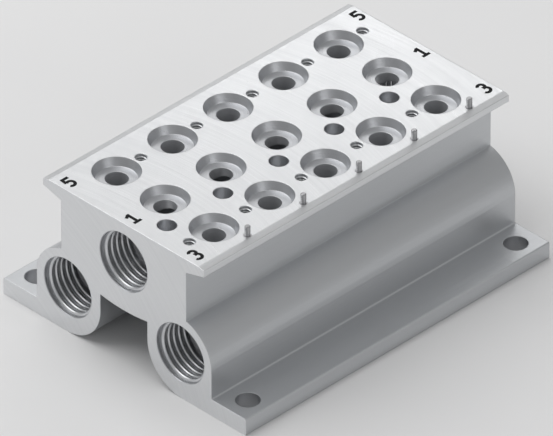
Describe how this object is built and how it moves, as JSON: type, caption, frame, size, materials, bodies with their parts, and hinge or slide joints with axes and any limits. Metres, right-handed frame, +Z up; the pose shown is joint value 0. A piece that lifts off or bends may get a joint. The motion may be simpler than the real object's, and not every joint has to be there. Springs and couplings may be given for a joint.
{
  "type": "pneumatic valve manifold block",
  "caption": "Extruded aluminium manifold rail for a row of pneumatic valves: T-shaped head, two exhaust lobes, side feet, threaded end ports and tapered valve seats.",
  "frame": {"origin": "middle of the mounting face, under the middle of the rail", "axes": "+Y along the rail, away from the end that the picture shows; +X across the rail from port 5 to port 3; +Z up through the top face"},
  "size_m": [0.0856, 0.1072, 0.0457],
  "materials": {
    "rail": "clear anodised, satin, with machined top and end faces",
    "pin": "ground steel"
  },
  "bodies": {
    "root": {"manifold_block": "rail", "locating_pin_1": "pin", "locating_pin_2": "pin", "locating_pin_3": "pin", "locating_pin_4": "pin", "locating_pin_5": "pin"}
  },
  "joints": []
}
